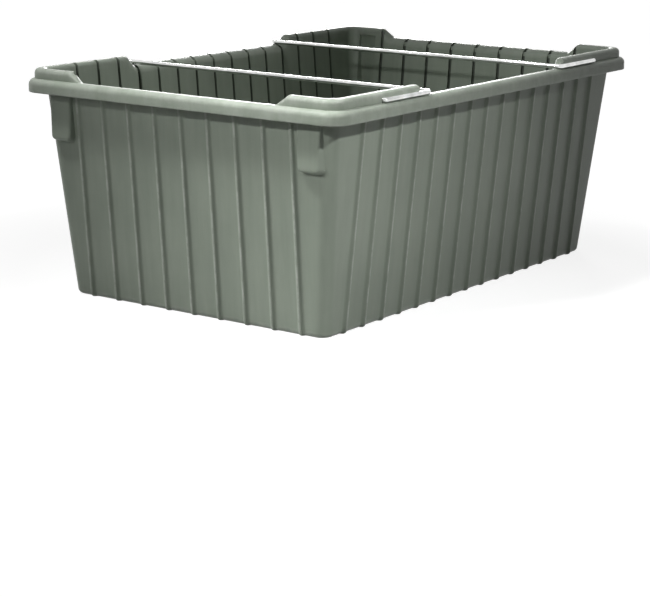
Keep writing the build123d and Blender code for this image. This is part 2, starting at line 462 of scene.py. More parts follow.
@dataclass(frozen=True)
class TubSizes:
    """Sizes of the moulding in metres; the outside comes from the CAD node's box."""

    length: float
    width: float
    height: float
    wall: float = 3.0 * MM
    floor: float = 3.5 * MM
    draft: float = math.radians(5.25)
    wall_corner: float = 13.0 * MM
    base_edge: float = 5.0 * MM
    cavity_edge: float = 5.0 * MM
    rim_overhang: float = 16.6 * MM
    rim_depth: float = 14.0 * MM
    rim_corner: float = 22.0 * MM
    rim_outer: float = 6.5 * MM
    rim_inner: float = 11.0 * MM
    rim_shell: float = 3.0 * MM
    lip_edge: float = 0.8 * MM
    corner_rise: float = 10.5 * MM
    ledge: float = 6.4 * MM
    end_leg: float = 62.5 * MM
    side_leg: float = 151.0 * MM
    slope_run: float = 13.5 * MM
    slope_soften: float = 1.1 * MM
    crest_outer: float = 5.0 * MM
    crest_inner: float = 5.0 * MM
    rib_height: float = 3.0 * MM
    rib_half_width: float = 3.0 * MM
    rib_foot: float = 4.0 * MM
    end_rib_count: int = 9
    side_rib_count: int = 15
    end_rib_pitch: float = 33.8 * MM
    side_rib_pitch: float = 33.1 * MM
    groove_half_width: float = 1.9 * MM
    groove_depth: float = 2.4 * MM
    groove_edge: float = 0.15 * MM
    lug_half_width: float = 13.7 * MM
    lug_taper: float = 1.3 * MM
    lug_flank: float = math.radians(15.0)
    lug_drop: float = 48.0 * MM
    lug_stand: float = 3.2 * MM
    lug_wall: float = 2.5 * MM
    lug_corner: float = 4.0 * MM
    lug_edge: float = 1.6 * MM
    lug_lower_edge: float = 3.2 * MM
    lug_from_rim: float = 42.7 * MM
    pocket_edge: float = 0.6 * MM
    pocket_above_crest: float = 0.5 * MM

    @classmethod
    def from_cad(cls, node: str) -> "TubSizes":
        """Take the outside sizes from a CAD node.

        Args:
            node: Name of the node.

        Returns:
            The sizes.
        """
        low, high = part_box(node)
        size = high - low
        return cls(length=size.x, width=size.y, height=size.z)

    @property
    def lean(self) -> float:
        """How far a wall moves out for each metre of height."""
        return math.tan(self.draft)

    @property
    def crest(self) -> float:
        """Height of the low rim."""
        return self.height - self.corner_rise

    @property
    def skirt(self) -> float:
        """Height of the rim's lower edge."""
        return self.crest - self.rim_depth

    @property
    def base_reach(self) -> float:
        """Half length over the walls, carried down to the floor."""
        return 0.5 * self.length - self.rim_overhang - self.skirt * self.lean

    @property
    def side_offset(self) -> float:
        """How much nearer to the middle the long walls stand than the short ones."""
        return 0.5 * (self.length - self.width)

    @property
    def end_slope(self) -> float:
        """Distance of the raised crest's start from the middle of a short wall."""
        return 0.5 * self.width - self.end_leg

    @property
    def side_slope(self) -> float:
        """Distance of the raised crest's start from the middle of a long wall."""
        return 0.5 * self.length - self.side_leg

    @property
    def last_groove(self) -> float:
        """Distance of the last groove's outer edge from the middle of a short wall."""
        return (self.end_rib_count // 2) * self.end_rib_pitch + self.groove_half_width + self.groove_edge

    @property
    def lug(self) -> LugForm:
        """Outer form of a lug.

        Returns:
            The form.
        """
        return LugForm(
            centre=0.5 * self.width - self.lug_from_rim,
            face=0.5 * self.length - self.rim_overhang + self.lug_stand,
            bottom=self.skirt - self.lug_drop,
            top=self.crest + self.pocket_above_crest + self.lug_wall,
            half_bottom=self.lug_half_width - self.lug_taper,
            half_top=self.lug_half_width,
            corner=self.lug_corner,
            edge=self.lug_edge,
            lower_edge=self.lug_lower_edge,
            flank=self.lug_flank,
        )

    @property
    def pocket(self) -> LugForm:
        """Form of the hollow in a lug.

        Returns:
            The form.
        """
        lug, wall = self.lug, self.lug_wall
        return replace(lug, face=lug.face - wall, bottom=lug.bottom + wall, top=lug.top - wall,
                       half_bottom=lug.half_bottom - wall, half_top=lug.half_top - wall,
                       corner=lug.corner - wall, edge=self.pocket_edge, lower_edge=self.pocket_edge)

    def tangent(self, radius: float) -> float:
        """Distance from a corner between floor and wall to where its rounding starts."""
        return radius / math.tan(0.25 * math.pi + 0.5 * self.draft)


@dataclass(frozen=True)
class WearAndPaintedLight:
    """Share of wear and painted highlight on each edge of the moulding, and of painted shade in its grooves.

    A rib is worn, and painted lighter as a highlight, above rib_start, a share of its height, and gains
    rib_gain for each full height from there up. The painted groove shade starts at one share at the crest and
    gains a second share down the rim's inner rounding, up to full.
    """

    base: float = 0.5
    lip_foot: float = 0.6
    lip: float = 0.8
    skirt: float = 0.3
    rim_foot: float = 0.5
    rim: float = 0.6
    riser: Triple = (0.2, 0.3, 0.6)
    crest: float = 1.0
    crest_top: float = 0.7
    rounding: float = 0.5
    rib_start: float = 0.8
    rib_gain: float = 7.0
    groove_shade_start: float = 0.5
    groove_shade_gain: float = 2.0


@dataclass
class Ring:
    """One line of the moulding's section, carried round the perimeter.

    reach and height hold one number for each station of a quarter; reach runs from the middle of the box to
    a short wall. rim_share says which radius its corners turn with. push is the least reach at each station,
    where a lug or its pocket stands out, and along moves the stations of the short wall to its edges. The
    wear share is that of edge wear and painted highlight, and the last number the share of painted shade in
    the grooves.
    """

    reach: np.ndarray
    height: np.ndarray
    rim_share: float = WALL_CORNER
    push: np.ndarray | None = None
    along: np.ndarray | None = None
    wear_and_highlight: float = 0.0
    groove_shade: float = 0.0


def arc(radius: float, start: float, stop: float, count: int) -> list[Point]:
    """Points on an arc about the origin, between two angles in degrees, without its first point."""
    angles = np.radians(np.linspace(start, stop, count + 1)[1:])
    return [(radius * math.cos(angle), radius * math.sin(angle)) for angle in angles]


def from_mm(steps: Steps) -> np.ndarray:
    """Turn millimetres into metres."""
    return np.array(steps) * MM


def edge_drop(inside: Number, radius: float) -> Number:
    """How far a rounded edge falls below its face at a distance inside it."""
    gap = radius - np.clip(inside, 0.0, radius)
    return radius - np.sqrt(radius ** 2 - gap ** 2)


def thinned(places: Iterable[float], least: float = 0.2 * MM) -> list[float]:
    """Sort places and leave out those that lie too close to the one before.

    Args:
        places: Distances to sort.
        least: Least distance between two places.

    Returns:
        The sorted places.
    """
    kept: list[float] = []
    for place in sorted(places):
        if not kept or place - kept[-1] > least:
            kept.append(place)
    return kept


def tube_faces(rows: int, around: int) -> list[Sequence[int]]:
    """Faces between loops of vertices that follow each other, closed at both ends.

    Args:
        rows: Number of loops.
        around: Number of vertices in a loop.

    Returns:
        Vertex numbers of each face.
    """
    faces: list[Sequence[int]] = []
    for row in range(rows - 1):
        start, above = row * around, (row + 1) * around
        for step in range(around):
            after = (step + 1) % around
            faces.append((start + step, start + after, above + after, above + step))
    last = (rows - 1) * around
    return faces + [tuple(range(around - 1, -1, -1)), tuple(range(last, last + around))]


def new_object(name: str, data: bpy.types.ID) -> bpy.types.Object:
    """Make an object at the origin.

    Args:
        name: Name of the object.
        data: Its mesh, lamp or camera.

    Returns:
        The object, linked to the scene.
    """
    made = bpy.data.objects.new(name, data)
    bpy.context.scene.collection.objects.link(made)
    return made


def add_marks(mesh: bpy.types.Mesh, marks: dict[str, np.ndarray]) -> None:
    """Write a number at each vertex of a mesh, for each named attribute."""
    for name, numbers in marks.items():
        mesh.attributes.new(name, "FLOAT", "POINT").data.foreach_set("value", numbers.astype(np.float32))


def finish_mesh(name: str, vertices: np.ndarray, faces: list[Sequence[int]],
                marks: dict[str, np.ndarray]) -> bpy.types.Object:
    """Make a smooth object with sharp creases from vertices and faces.

    Args:
        name: Name of the object.
        vertices: One row of coordinates for each vertex.
        faces: Vertex numbers of each face.
        marks: Shares of wear with painted highlight, and of painted groove shade, at each vertex, by the name
            of their attribute.

    Returns:
        The object, linked to the scene.
    """
    mesh = bpy.data.meshes.new(name)
    mesh.from_pydata(vertices.tolist(), [], faces)
    mesh.validate()
    mesh.shade_smooth()
    mesh.set_sharp_from_angle(angle=MOULDING_CREASE)
    add_marks(mesh, marks)
    mesh.update()
    return new_object(name, mesh)


def bake(source: bpy.types.Object, name: str) -> bpy.types.Object:
    """Turn an object with a node modifier into a plain mesh object, and remove the source.

    Args:
        source: The object to bake.
        name: Name of the baked object.

    Returns:
        The baked object.
    """
    graph = bpy.context.evaluated_depsgraph_get()
    mesh = bpy.data.meshes.new_from_object(source.evaluated_get(graph))
    mesh.name = name
    bpy.data.objects.remove(source)
    return new_object(name, mesh)


def add_node_modifier(piece: bpy.types.Object, tree: bpy.types.NodeTree, values: dict[str, Any]) -> None:
    """Give an object a geometry tree and set the tree's named inputs.

    Args:
        piece: The object.
        tree: The geometry tree.
        values: Input name to value.
    """
    modifier = piece.modifiers.new(tree.name, "NODES")
    modifier.node_group = tree
    for item in tree.interface.items_tree:
        if item.item_type == "SOCKET" and item.in_out == "INPUT" and item.name in values:
            modifier[item.identifier] = values[item.name]


def open_tree(name: str, numbers: Iterable[tuple[str, str]]) -> tuple[NodeTree, dict[str, Socket]]:
    """Make a geometry tree that takes a mesh, a material and named numbers.

    Args:
        name: Name of the tree.
        numbers: Name and socket type of each further input.

    Returns:
        The tree and its input sockets by name.
    """
    tree = bpy.data.node_groups.new(name, "GeometryNodeTree")
    inputs = [("Geometry", "NodeSocketGeometry"), ("Material", "NodeSocketMaterial"), *numbers]
    for label, kind in inputs:
        tree.interface.new_socket(label, in_out="INPUT", socket_type=kind)
    tree.interface.new_socket("Geometry", in_out="OUTPUT", socket_type="NodeSocketGeometry")
    kit = NodeTree(tree)
    return kit, {socket.name: socket for socket in kit.add("NodeGroupInput").outputs}


def close_tree(kit: NodeTree, shape: Socket, material: Socket) -> bpy.types.NodeTree:
    """End a geometry tree: make instances real and give them their material.

    Args:
        kit: The tree.
        shape: The geometry that it has made.
        material: Finish of that geometry.

    Returns:
        The finished tree.
    """
    real = kit.add("GeometryNodeRealizeInstances", {0: shape})
    dressed = kit.add("GeometryNodeSetMaterial", {"Geometry": real.outputs[0], "Material": material})
    kit.add("NodeGroupOutput", {0: dressed.outputs[0]})
    return kit.tree


@dataclass
class TubShell:
    """The moulding without its outer ribs: one closed skin, swept round the perimeter line by line."""

    sizes: TubSizes
    wear_and_highlight: WearAndPaintedLight = WearAndPaintedLight()
    # Points on each rounding.
    corner_steps: int = 12
    edge_steps: int = 6
    rim_steps: int = 8
    crest_steps: int = 5
    channel_steps: int = 4
    lip_steps: int = 3
    # Samples that soften the ends of a slope, and stations about each end as multiples of slope_soften.
    ramp_samples: int = 17
    slope_steps: Steps = (-1.6, -0.9, 0.0, 0.9, 1.6)
    # Stations between two grooves and past the last one of a long wall, as shares of the pitch.
    bay_shares: Range = (0.3, 0.7)
    last_bay_share: float = 0.45
    # The most of a corner's radius that the stations of a short wall take up.
    corner_share: float = 0.65
    # Height of the riser's first line above the low rim.
    riser_start: float = 0.5 * MM
    # Stations at the start and the end of a lug's rounded edge and at its root, from the lug's middle, before
    # they are fitted to a line, and the distances of stations past each of the three in millimetres.
    lug_marks: Triple = (11.4 * MM, 13.7 * MM, 17.0 * MM)
    mark_steps: tuple[Steps, Steps, Steps] = ((0.0, 0.6, 1.1, 1.6), (-0.3, 0.0), (0.0, 0.4, 2.0))
    # Further stations as shares of a lug's flat face and of its flank.
    face_shares: Range = (0.35, 0.7)
    flank_shares: Range = (0.3, 0.65)
    # Least width of a flank, and least distance of the last station past its root.
    least_flank: float = 0.3 * MM
    past_root: float = 0.4 * MM
    # Lines that follow a lug's lower outline: the height above it where they are fitted, how far beside it
    # they level out, the share of its rise that they take and the least radius of their corners.
    outline_level: float = 3.0 * MM
    outline_fade: float = 7.0 * MM
    outline_share: float = 0.85
    least_corner: float = 0.5 * MM
    # In millimetres: heights of level lines, distances of lines above a lower outline, and distances of lines
    # above the upper edge of a pocket.
    wall_heights: Steps = (7.0, 25.0, 60.0, 95.0, 125.0, 145.0, 156.0)
    lug_outline: Steps = (-6.0, -4.0, -3.5, -2.6, -1.6, -0.7, -0.35, 0.0, 0.5, 1.0, 1.6, 4.5)
    lug_heights: Steps = (184.0, 196.0, 207.0, 214.0)
    pocket_top: Steps = (3.5, 1.7, 1.1, 0.5, 0.0, -0.5, -1.5, -4.0, -7.5)
    pocket_heights: Steps = (213.0, 205.0, 196.0, 188.0, 181.0)
    pocket_outline: Steps = (3.5, 1.5, 0.4, 0.0, -0.5, -1.6, -2.7, -3.7, -4.2, -6.5)
    inner_heights: Steps = (158.0, 140.0, 110.0, 75.0, 40.0, 18.0, 9.5)
    end_along: np.ndarray = field(init=False)
    side_along: np.ndarray = field(init=False)
    lift: np.ndarray = field(init=False)
    groove: np.ndarray = field(init=False)

    def __post_init__(self) -> None:
        """Work out the stations of a quarter and what happens at each."""
        s = self.sizes
        end, side = (s.end_rib_pitch, s.end_rib_count), (s.side_rib_pitch, s.side_rib_count)
        last = (s.side_rib_count // 2 + self.last_bay_share) * s.side_rib_pitch
        self.end_along = self.stations(*end, s.end_slope, self.lug_stations())
        self.side_along = self.stations(*side, s.side_slope, [last])[::-1]
        corner = np.ones(self.corner_steps)
        self.lift = np.concatenate([self.ramp(self.end_along, s.end_slope), corner,
                                    self.ramp(self.side_along, s.side_slope)])
        self.groove = np.concatenate([self.in_groove(self.end_along, *end), 0.0 * corner,
                                      self.in_groove(self.side_along, *side)])

    def stations(self, pitch: float, count: int, slope: float, more: list[float]) -> np.ndarray:
        """Stations of half a wall, from its middle outwards.

        Args:
            pitch: Distance from groove to groove.
            count: Number of grooves on the whole wall.
            slope: Where the slope reaches the raised crest.
            more: Further stations.

        Returns:
            Distances from the middle of the wall.
        """
        bays = [(index + share) * pitch for index in range(count // 2) for share in self.bay_shares]
        places = self.groove_stations(pitch, count) + self.slope_stations(slope)
        return np.array(thinned(places + bays + more))

    def groove_stations(self, pitch: float, count: int) -> list[float]:
        """Stations at the edges, foot and middle of each groove of half a wall.

        Args:
            pitch: Distance from groove to groove.
            count: Number of grooves on the whole wall.

        Returns:
            Distances from the middle of the wall.
        """
        half, edge = self.sizes.groove_half_width, self.sizes.groove_edge
        offsets = (-half - edge, -half + edge, 0.0, half - edge, half + edge)
        places = [index * pitch + offset for index in range(count // 2 + 1) for offset in offsets]
        return [place for place in places if place >= 0.0]

    def slope_stations(self, top: float) -> list[float]:
        """Stations along the sloped end of a raised corner.

        Args:
            top: Where the slope reaches the raised crest.

        Returns:
            Distances from the middle of the wall.
        """
        foot = top - self.sizes.slope_run
        soft = self.sizes.slope_soften
        ends = [place + step * soft for place in (foot, top) for step in self.slope_steps]
        return ends + [0.5 * (foot + top)]

    def lug_stations(self) -> list[float]:
        """Stations across a lug, close together at its edges and flanks.

        Returns:
            Distances from the middle of the wall.
        """
        centre = self.sizes.lug.centre
        start, stop, root = self.lug_marks
        beside = [mark + step * MM for mark, steps in zip(self.lug_marks, self.mark_steps) for step in steps]
        beside += [share * start for share in self.face_shares]
        beside += [stop + share * (root - stop) for share in self.flank_shares]
        return [centre] + [centre + side * step for step in beside for side in (-1.0, 1.0)]

    def fitted(self, form: LugForm, height: float, wall: float) -> np.ndarray:
        """Move the stations of a short wall to the edges and roots of a lug or pocket.

        Args:
            form: The lug or pocket.
            height: Height of the line.
            wall: Reach of the wall at that height.

        Returns:
            Distances from the middle of the wall.
        """
        s = self.sizes
        half, run = float(form.half(height)), float(form.run(height))
        edge_end = half + run * math.sin(form.flank)
        root = max(half + (form.face - wall) * math.tan(form.flank), edge_end + self.least_flank)
        marks = np.array(self.lug_marks)
        places = np.array((half - run, edge_end, root))
        centre_y = self.wall_reach(height) - s.side_offset - s.wall_corner
        limit = min(self.end_along[-1], centre_y + self.corner_share * (s.wall_corner - s.wall))
        last = max(form.centre + root + self.past_root, limit)
        before = [*(form.centre - marks[::-1]), *(form.centre + marks), self.end_along[-1]]
        after = [*(form.centre - places[::-1]), *(form.centre + places), last]
        return np.interp(self.end_along, [0.0, s.last_groove, *before], [0.0, s.last_groove, *after])

    def ramp(self, along: np.ndarray, top: float) -> np.ndarray:
        """Share of the corner's rise at each station, with softened ends.

        Args:
            along: Distances from the middle of the wall.
            top: Where the slope reaches the raised crest.

        Returns:
            0 on the low rim, 1 on a raised corner.
        """
        s = self.sizes
        steps = np.linspace(-s.slope_soften, s.slope_soften, self.ramp_samples)
        shares = (along[:, None] + steps[None, :] - (top - s.slope_run)) / s.slope_run
        return np.clip(shares, 0.0, 1.0).mean(axis=1)

    def in_groove(self, along: np.ndarray, pitch: float, count: int) -> np.ndarray:
        """1 at the stations that lie in one of a wall's grooves and 0 at the others."""
        nearest = np.minimum(np.round(along / pitch), count // 2) * pitch
        return (np.abs(along - nearest) < self.sizes.groove_half_width).astype(float)

    def wall_reach(self, height: Number) -> Number:
        """Reach of the walls' outer face at a height."""
        return self.sizes.base_reach + height * self.sizes.lean

    def inner_centre(self, radius: float, top: float) -> Point:
        """Reach and height of the centre of the rounding between a crest and the inner wall."""
        height = top - radius
        return self.wall_reach(height) - self.sizes.wall + radius / math.cos(self.sizes.draft), height

    def padded(self, values: np.ndarray, rest: float) -> np.ndarray:
        """Numbers for the stations of the short wall, followed by one number for all others."""
        return np.concatenate([values, np.full(len(self.lift) - len(values), rest)])

    def level(self, reach: float, height: float, wear_and_highlight: float = 0.0, rim_share: float = WALL_CORNER) -> Ring:
        """A line with one reach, height and share of wear all round."""
        ones = np.ones(len(self.lift))
        return Ring(reach * ones, height * ones, rim_share, wear_and_highlight=wear_and_highlight)

    def rim_level(self, reach: float, height: float, wear_and_highlight: float = 0.0) -> Ring:
        """A level line that turns the corners with the rim's radius."""
        return self.level(reach, height, wear_and_highlight, RIM_CORNER)

    def pressed(self, line: Ring, form: LugForm, along: np.ndarray) -> Ring:
        """Push a line out where it passes over the face of a lug or pocket.

        Args:
            line: The line.
            form: The lug or pocket.
            along: Stations of the short wall, fitted to it.

        Returns:
            The same line.
        """
        line.along = along
        line.push = self.padded(form.reach(along, line.height[:len(along)]), NO_PUSH)
        return line

    def lug_line(self, form: LugForm, reach: float, height: float) -> Ring:
        """A level line that passes over the face of a lug or pocket."""
        return self.pressed(self.level(reach, height), form, self.fitted(form, height, reach))

    def wall_lines(self, heights: Steps, inset: float, form: LugForm | None = None) -> list[Ring]:
        """Level lines on the walls, which pass over the lugs or pockets where these are given.

        Args:
            heights: Heights of the lines in millimetres.
            inset: How far the lines lie inside the walls' outer face.
            form: The lug or pocket.

        Returns:
            The lines.
        """
        places = [(self.wall_reach(height) - inset, height) for height in from_mm(heights)]
        if form is None:
            return [self.level(*place) for place in places]
        return [self.lug_line(form, *place) for place in places]

    def lower_edge(self, form: LugForm, outline: Steps, inset: float) -> list[Ring]:
        """Lines that follow the lower outline of a lug or pocket, from one side of it to the other.

        Args:
            form: The lug or pocket.
            outline: Distance of each line above the outline, in millimetres.
            inset: How far the lines lie inside the walls' outer face.

        Returns:
            The lines.
        """
        level = form.bottom + self.outline_level
        along = self.fitted(form, level, self.wall_reach(level) - inset)
        lines = []
        for offset in from_mm(outline):
            inside = form.half(level) - offset - np.abs(along - form.centre)
            radius = max(form.corner - offset, self.least_corner)
            rise = edge_drop(inside, radius) * np.clip(1.0 + inside / self.outline_fade, 0.0, 1.0)
            height = form.bottom + offset + self.outline_share * self.padded(rise, 0.0)
            lines.append(self.pressed(Ring(self.wall_reach(height) - inset, height), form, along))
        return lines

    def blend(self, low: Point, raised: Point, rim_share: float, wear_and_highlight: float, cut: float = 0.0,
              normal: Point = (0.0, 0.0), raised_normal: Point = (0.0, 0.0)) -> Ring:
        """A line that lies at one place on the low rim and at another on the raised corners.

        Args:
            low: Reach and height on the low rim.
            raised: Reach and height on a raised corner.
            rim_share: Which corner radius it follows.
            wear_and_highlight: Share of edge wear.
            cut: Depth of the grooves on this line.
            normal: Outward direction of the surface on the low rim.
            raised_normal: Outward direction of the surface on a raised corner.

        Returns:
            The line.
        """
        share = self.lift
        depth = cut * self.groove
        lean = [first + (second - first) * share for first, second in zip(normal, raised_normal)]
        reach = low[0] + (raised[0] - low[0]) * share - lean[0] * depth
        height = low[1] + (raised[1] - low[1]) * share - lean[1] * depth
        return Ring(reach, height, rim_share, wear_and_highlight=wear_and_highlight)

    def base_lines(self) -> list[Ring]:
        """Lines of the rounded base edge, from the flat underside to the wall.

        Returns:
            The lines, upwards.
        """
        s = self.sizes
        centre = s.base_reach - s.tangent(s.base_edge)
        points = [(0.0, -s.base_edge)] + arc(s.base_edge, -90.0, -math.degrees(s.draft), self.edge_steps)
        return [self.level(centre + out, s.base_edge + up, self.wear_and_highlight.base) for out, up in points]

    def outer_lines(self) -> list[Ring]:
        """Lines of the outer wall, with the lugs standing out below the rim.

        Returns:
            The lines, upwards.
        """
        lug = self.sizes.lug
        lines = self.wall_lines(self.wall_heights, 0.0)
        lines += self.lower_edge(lug, self.lug_outline, 0.0)
        return lines + self.wall_lines(self.lug_heights, 0.0, lug)

    def channel_lines(self) -> list[Ring]:
        """Lines of the hollow under the rim, from the wall over its ceiling to the inside of the skirt.

        Returns:
            The lines, outwards.
        """
        s = self.sizes
        ceiling = s.crest - s.rim_shell
        inner, outer = s.rim_inner - s.rim_shell, s.rim_outer - s.rim_shell
        centre = self.wall_reach(ceiling - inner) + inner / math.cos(s.draft)
        corner = 0.5 * s.length - s.rim_outer
        points = [(-inner * math.cos(s.draft), inner * math.sin(s.draft))]
        points += arc(inner, 180.0 - math.degrees(s.draft), 90.0, self.edge_steps)
        lines = [self.lug_line(s.lug, centre + out, ceiling - inner + up) for out, up in points]
        lines += [self.rim_level(corner, ceiling)]
        lines += [self.rim_level(corner + out, ceiling - outer + up)
                  for out, up in arc(outer, 90.0, 0.0, self.channel_steps)]
        return lines

    def skirt_lines(self) -> list[Ring]:
        """Lines of the skirt's lip, its outer face and the rim's outer rounding.

        Returns:
            The lines, outwards and upwards.
        """
        s, wear_and_highlight = self.sizes, self.wear_and_highlight
        outside, edge = 0.5 * s.length, s.lip_edge
        inner, outer, lip = outside - s.rim_shell + edge, outside - edge, s.skirt + edge
        centre, start = outside - s.rim_outer, s.crest - s.rim_outer
        points = [(inner - edge, lip, 0.0)]
        points += [(inner + out, lip + up, 0.0) for out, up in arc(edge, 180.0, 270.0, self.lip_steps)]
        points += [(outer, s.skirt, wear_and_highlight.lip_foot)]
        points += [(outer + out, lip + up, wear_and_highlight.lip) for out, up in arc(edge, 270.0, 360.0, self.lip_steps)]
        points += [(outside, 0.5 * (start + s.skirt), wear_and_highlight.skirt), (outside, start, wear_and_highlight.rim_foot)]
        points += [(centre + out, start + up, wear_and_highlight.rim)
                   for out, up in arc(s.rim_outer, 0.0, 90.0, self.rim_steps)]
        return [self.rim_level(*point) for point in points]

    def crest_lines(self) -> list[Ring]:
        """Lines of the crest: flat on the low rim, a riser and a rounded edge on the raised corners.

        Returns:
            The lines, inwards.
        """
        s, wear_and_highlight = self.sizes, self.wear_and_highlight
        foot = 0.5 * s.length - s.ledge
        start = s.height - s.crest_outer
        flat_end, _ = self.inner_centre(s.crest_inner, s.height)
        low_end, _ = self.inner_centre(s.rim_inner, s.crest)
        riser = [(foot, s.crest + self.riser_start), (foot, 0.5 * (s.crest + start)), (foot, start)]
        edge = [(foot - s.crest_outer + out, start + up)
                for out, up in arc(s.crest_outer, 0.0, 90.0, self.crest_steps)]
        flat = [(0.5 * (foot - s.crest_outer + flat_end), s.height), (flat_end, s.height)]
        raised = riser + edge + flat
        shares = np.linspace(0.0, 1.0, len(raised) + 1)[1:]
        wears = [*wear_and_highlight.riser] + [wear_and_highlight.crest] * len(edge) + [wear_and_highlight.crest_top] * len(flat)
        turns = [RIM_CORNER] * len(riser + edge) + [0.5 * (RIM_CORNER + WALL_CORNER), WALL_CORNER]
        return [self.blend((foot + (low_end - foot) * share, s.crest), place, turn, worn)
                for share, place, turn, worn in zip(shares, raised, turns, wears)]

    def rounding_lines(self) -> list[Ring]:
        """Lines of the rim's inner rounding and, on the raised corners, of the wall below it.

        Returns:
            The lines, downwards to the end of the low rim's rounding.
        """
        s, wear_and_highlight, pocket = self.sizes, self.wear_and_highlight, self.sizes.pocket
        slant = 180.0 - math.degrees(s.draft)
        low_reach, low_height = self.inner_centre(s.rim_inner, s.crest)
        high_reach, high_height = self.inner_centre(s.crest_inner, s.height)
        raised = [(high_reach + out, high_height + up)
                  for out, up in arc(s.crest_inner, 90.0, slant, self.edge_steps)]
        heights = [pocket.top + offset for offset in from_mm(self.pocket_top)]
        heights += [low_height + s.rim_inner * math.sin(s.draft)]
        below = [(self.wall_reach(height) - s.wall, height) for height in heights]
        count = len(raised) + len(below)
        low = [(low_reach + out, low_height + up) for out, up in arc(s.rim_inner, 90.0, slant, count)]
        normals = arc(1.0, 90.0, slant, count)
        high_normals = arc(1.0, 90.0, slant, self.edge_steps) + [normals[-1]] * len(below)
        lines = []
        for index, place in enumerate(raised + below):
            worn = wear_and_highlight.rounding * (1.0 - index / count)
            line = self.blend(low[index], place, WALL_CORNER, worn, s.groove_depth, normals[index],
                              high_normals[index])
            # Painted shade in the grooves, growing down the rim's inner rounding.
            line.groove_shade = min(1.0, wear_and_highlight.groove_shade_start + wear_and_highlight.groove_shade_gain * index / count)
            if index > len(raised):
                line = self.pressed(line, pocket, self.fitted(pocket, place[1], place[0]))
            lines.append(line)
        return lines

    def inner_lines(self) -> list[Ring]:
        """Lines of the inner wall, with its grooves and the pockets of the lugs.

        Returns:
            The lines, downwards.
        """
        s = self.sizes
        lines = self.wall_lines(self.pocket_heights, s.wall, s.pocket)
        lines += self.lower_edge(s.pocket, self.pocket_outline, s.wall)
        lines += self.wall_lines(self.inner_heights, s.wall)
        for line in lines:
            # The grooves of the inner wall get full painted shade.
            line.groove_shade = 1.0
            line.reach = line.reach + math.cos(s.draft) * s.groove_depth * self.groove
            line.height = line.height - math.sin(s.draft) * s.groove_depth * self.groove
        return lines

    def floor_lines(self) -> list[Ring]:
        """Lines of the rounding between the inner wall and the floor.

        Returns:
            The lines, downwards.
        """
        s, radius = self.sizes, self.sizes.cavity_edge
        centre = self.wall_reach(s.floor) - s.wall - s.tangent(radius)
        points = [(radius * math.cos(s.draft), -radius * math.sin(s.draft))]
        points += arc(radius, -math.degrees(s.draft), -90.0, self.edge_steps)
        return [self.level(centre + out, s.floor + radius + up) for out, up in points]

    def within(self, along: np.ndarray, limit: float) -> np.ndarray:
        """Draw the stations past the last groove together where a short wall is too narrow for them.

        Args:
            along: Distances from the middle of the wall.
            limit: The most that the last of them may be.

        Returns:
            The distances that fit.
        """
        start = self.sizes.last_groove
        share = min(1.0, (limit - start) / (along[-1] - start))
        return np.where(along > start, start + (along - start) * share, along)

    def place(self, line: Ring) -> np.ndarray:
        """Put a line's stations of one quarter in space.

        Args:
            line: The line.

        Returns:
            One row of coordinates for each station, in the +X, +Y quarter.
        """
        s = self.sizes
        ends, corner = len(self.end_along), self.corner_steps
        reach = line.reach[ends]
        wall_radius = s.wall_corner + reach - self.wall_reach(line.height[ends])
        rim_radius = s.rim_corner + reach - 0.5 * s.length
        radius = wall_radius + line.rim_share * (rim_radius - wall_radius)
        centre_x = reach - radius
        centre_y = centre_x - s.side_offset
        along = self.end_along if line.along is None else line.along
        along = self.within(along, centre_y + self.corner_share * radius)
        past = np.maximum(along - centre_y, 0.0)
        x_end = line.reach[:ends] - radius + np.sqrt(radius ** 2 - past ** 2)
        y_side = line.reach[ends + corner:] - s.side_offset
        first = math.asin(past[-1] / radius)
        turn = first + (0.5 * math.pi - first) * np.arange(1, corner + 1) / corner
        x = np.concatenate([x_end, centre_x + radius * np.cos(turn), self.side_along])
        y = np.concatenate([along, centre_y + radius * np.sin(turn), y_side])
        if line.push is not None:
            x = np.maximum(x, line.push)
        return np.stack([x, y, line.height], axis=1)

    def all_round(self, quarter: np.ndarray, flip_x: Number = 1.0, flip_y: Number = 1.0) -> np.ndarray:
        """Mirror a quarter's numbers or rows into a whole loop that starts at the rear wall's middle."""
        return np.concatenate([quarter, quarter[-2::-1] * flip_x, quarter[1:] * flip_x * flip_y,
                               quarter[-2:0:-1] * flip_y])

    def build(self) -> bpy.types.Object:
        """Build the skin.

        Returns:
            The finished object.
        """
        lines = (self.base_lines() + self.outer_lines() + self.channel_lines() + self.skirt_lines()
                 + self.crest_lines() + self.rounding_lines() + self.inner_lines() + self.floor_lines())
        loops = [self.all_round(self.place(line), FLIP_X, FLIP_Y) for line in lines]
        around = len(loops[0])
        wear_and_highlight = np.repeat([line.wear_and_highlight for line in lines], around)
        # Painted shade only at the stations that lie in a groove.
        groove_shade = np.outer([line.groove_shade for line in lines], self.all_round(self.groove)).ravel()
        faces = tube_faces(len(loops), around)
        return finish_mesh("tub_shell", np.concatenate(loops), faces, {"wear_and_highlight": wear_and_highlight, "groove_shade": groove_shade})


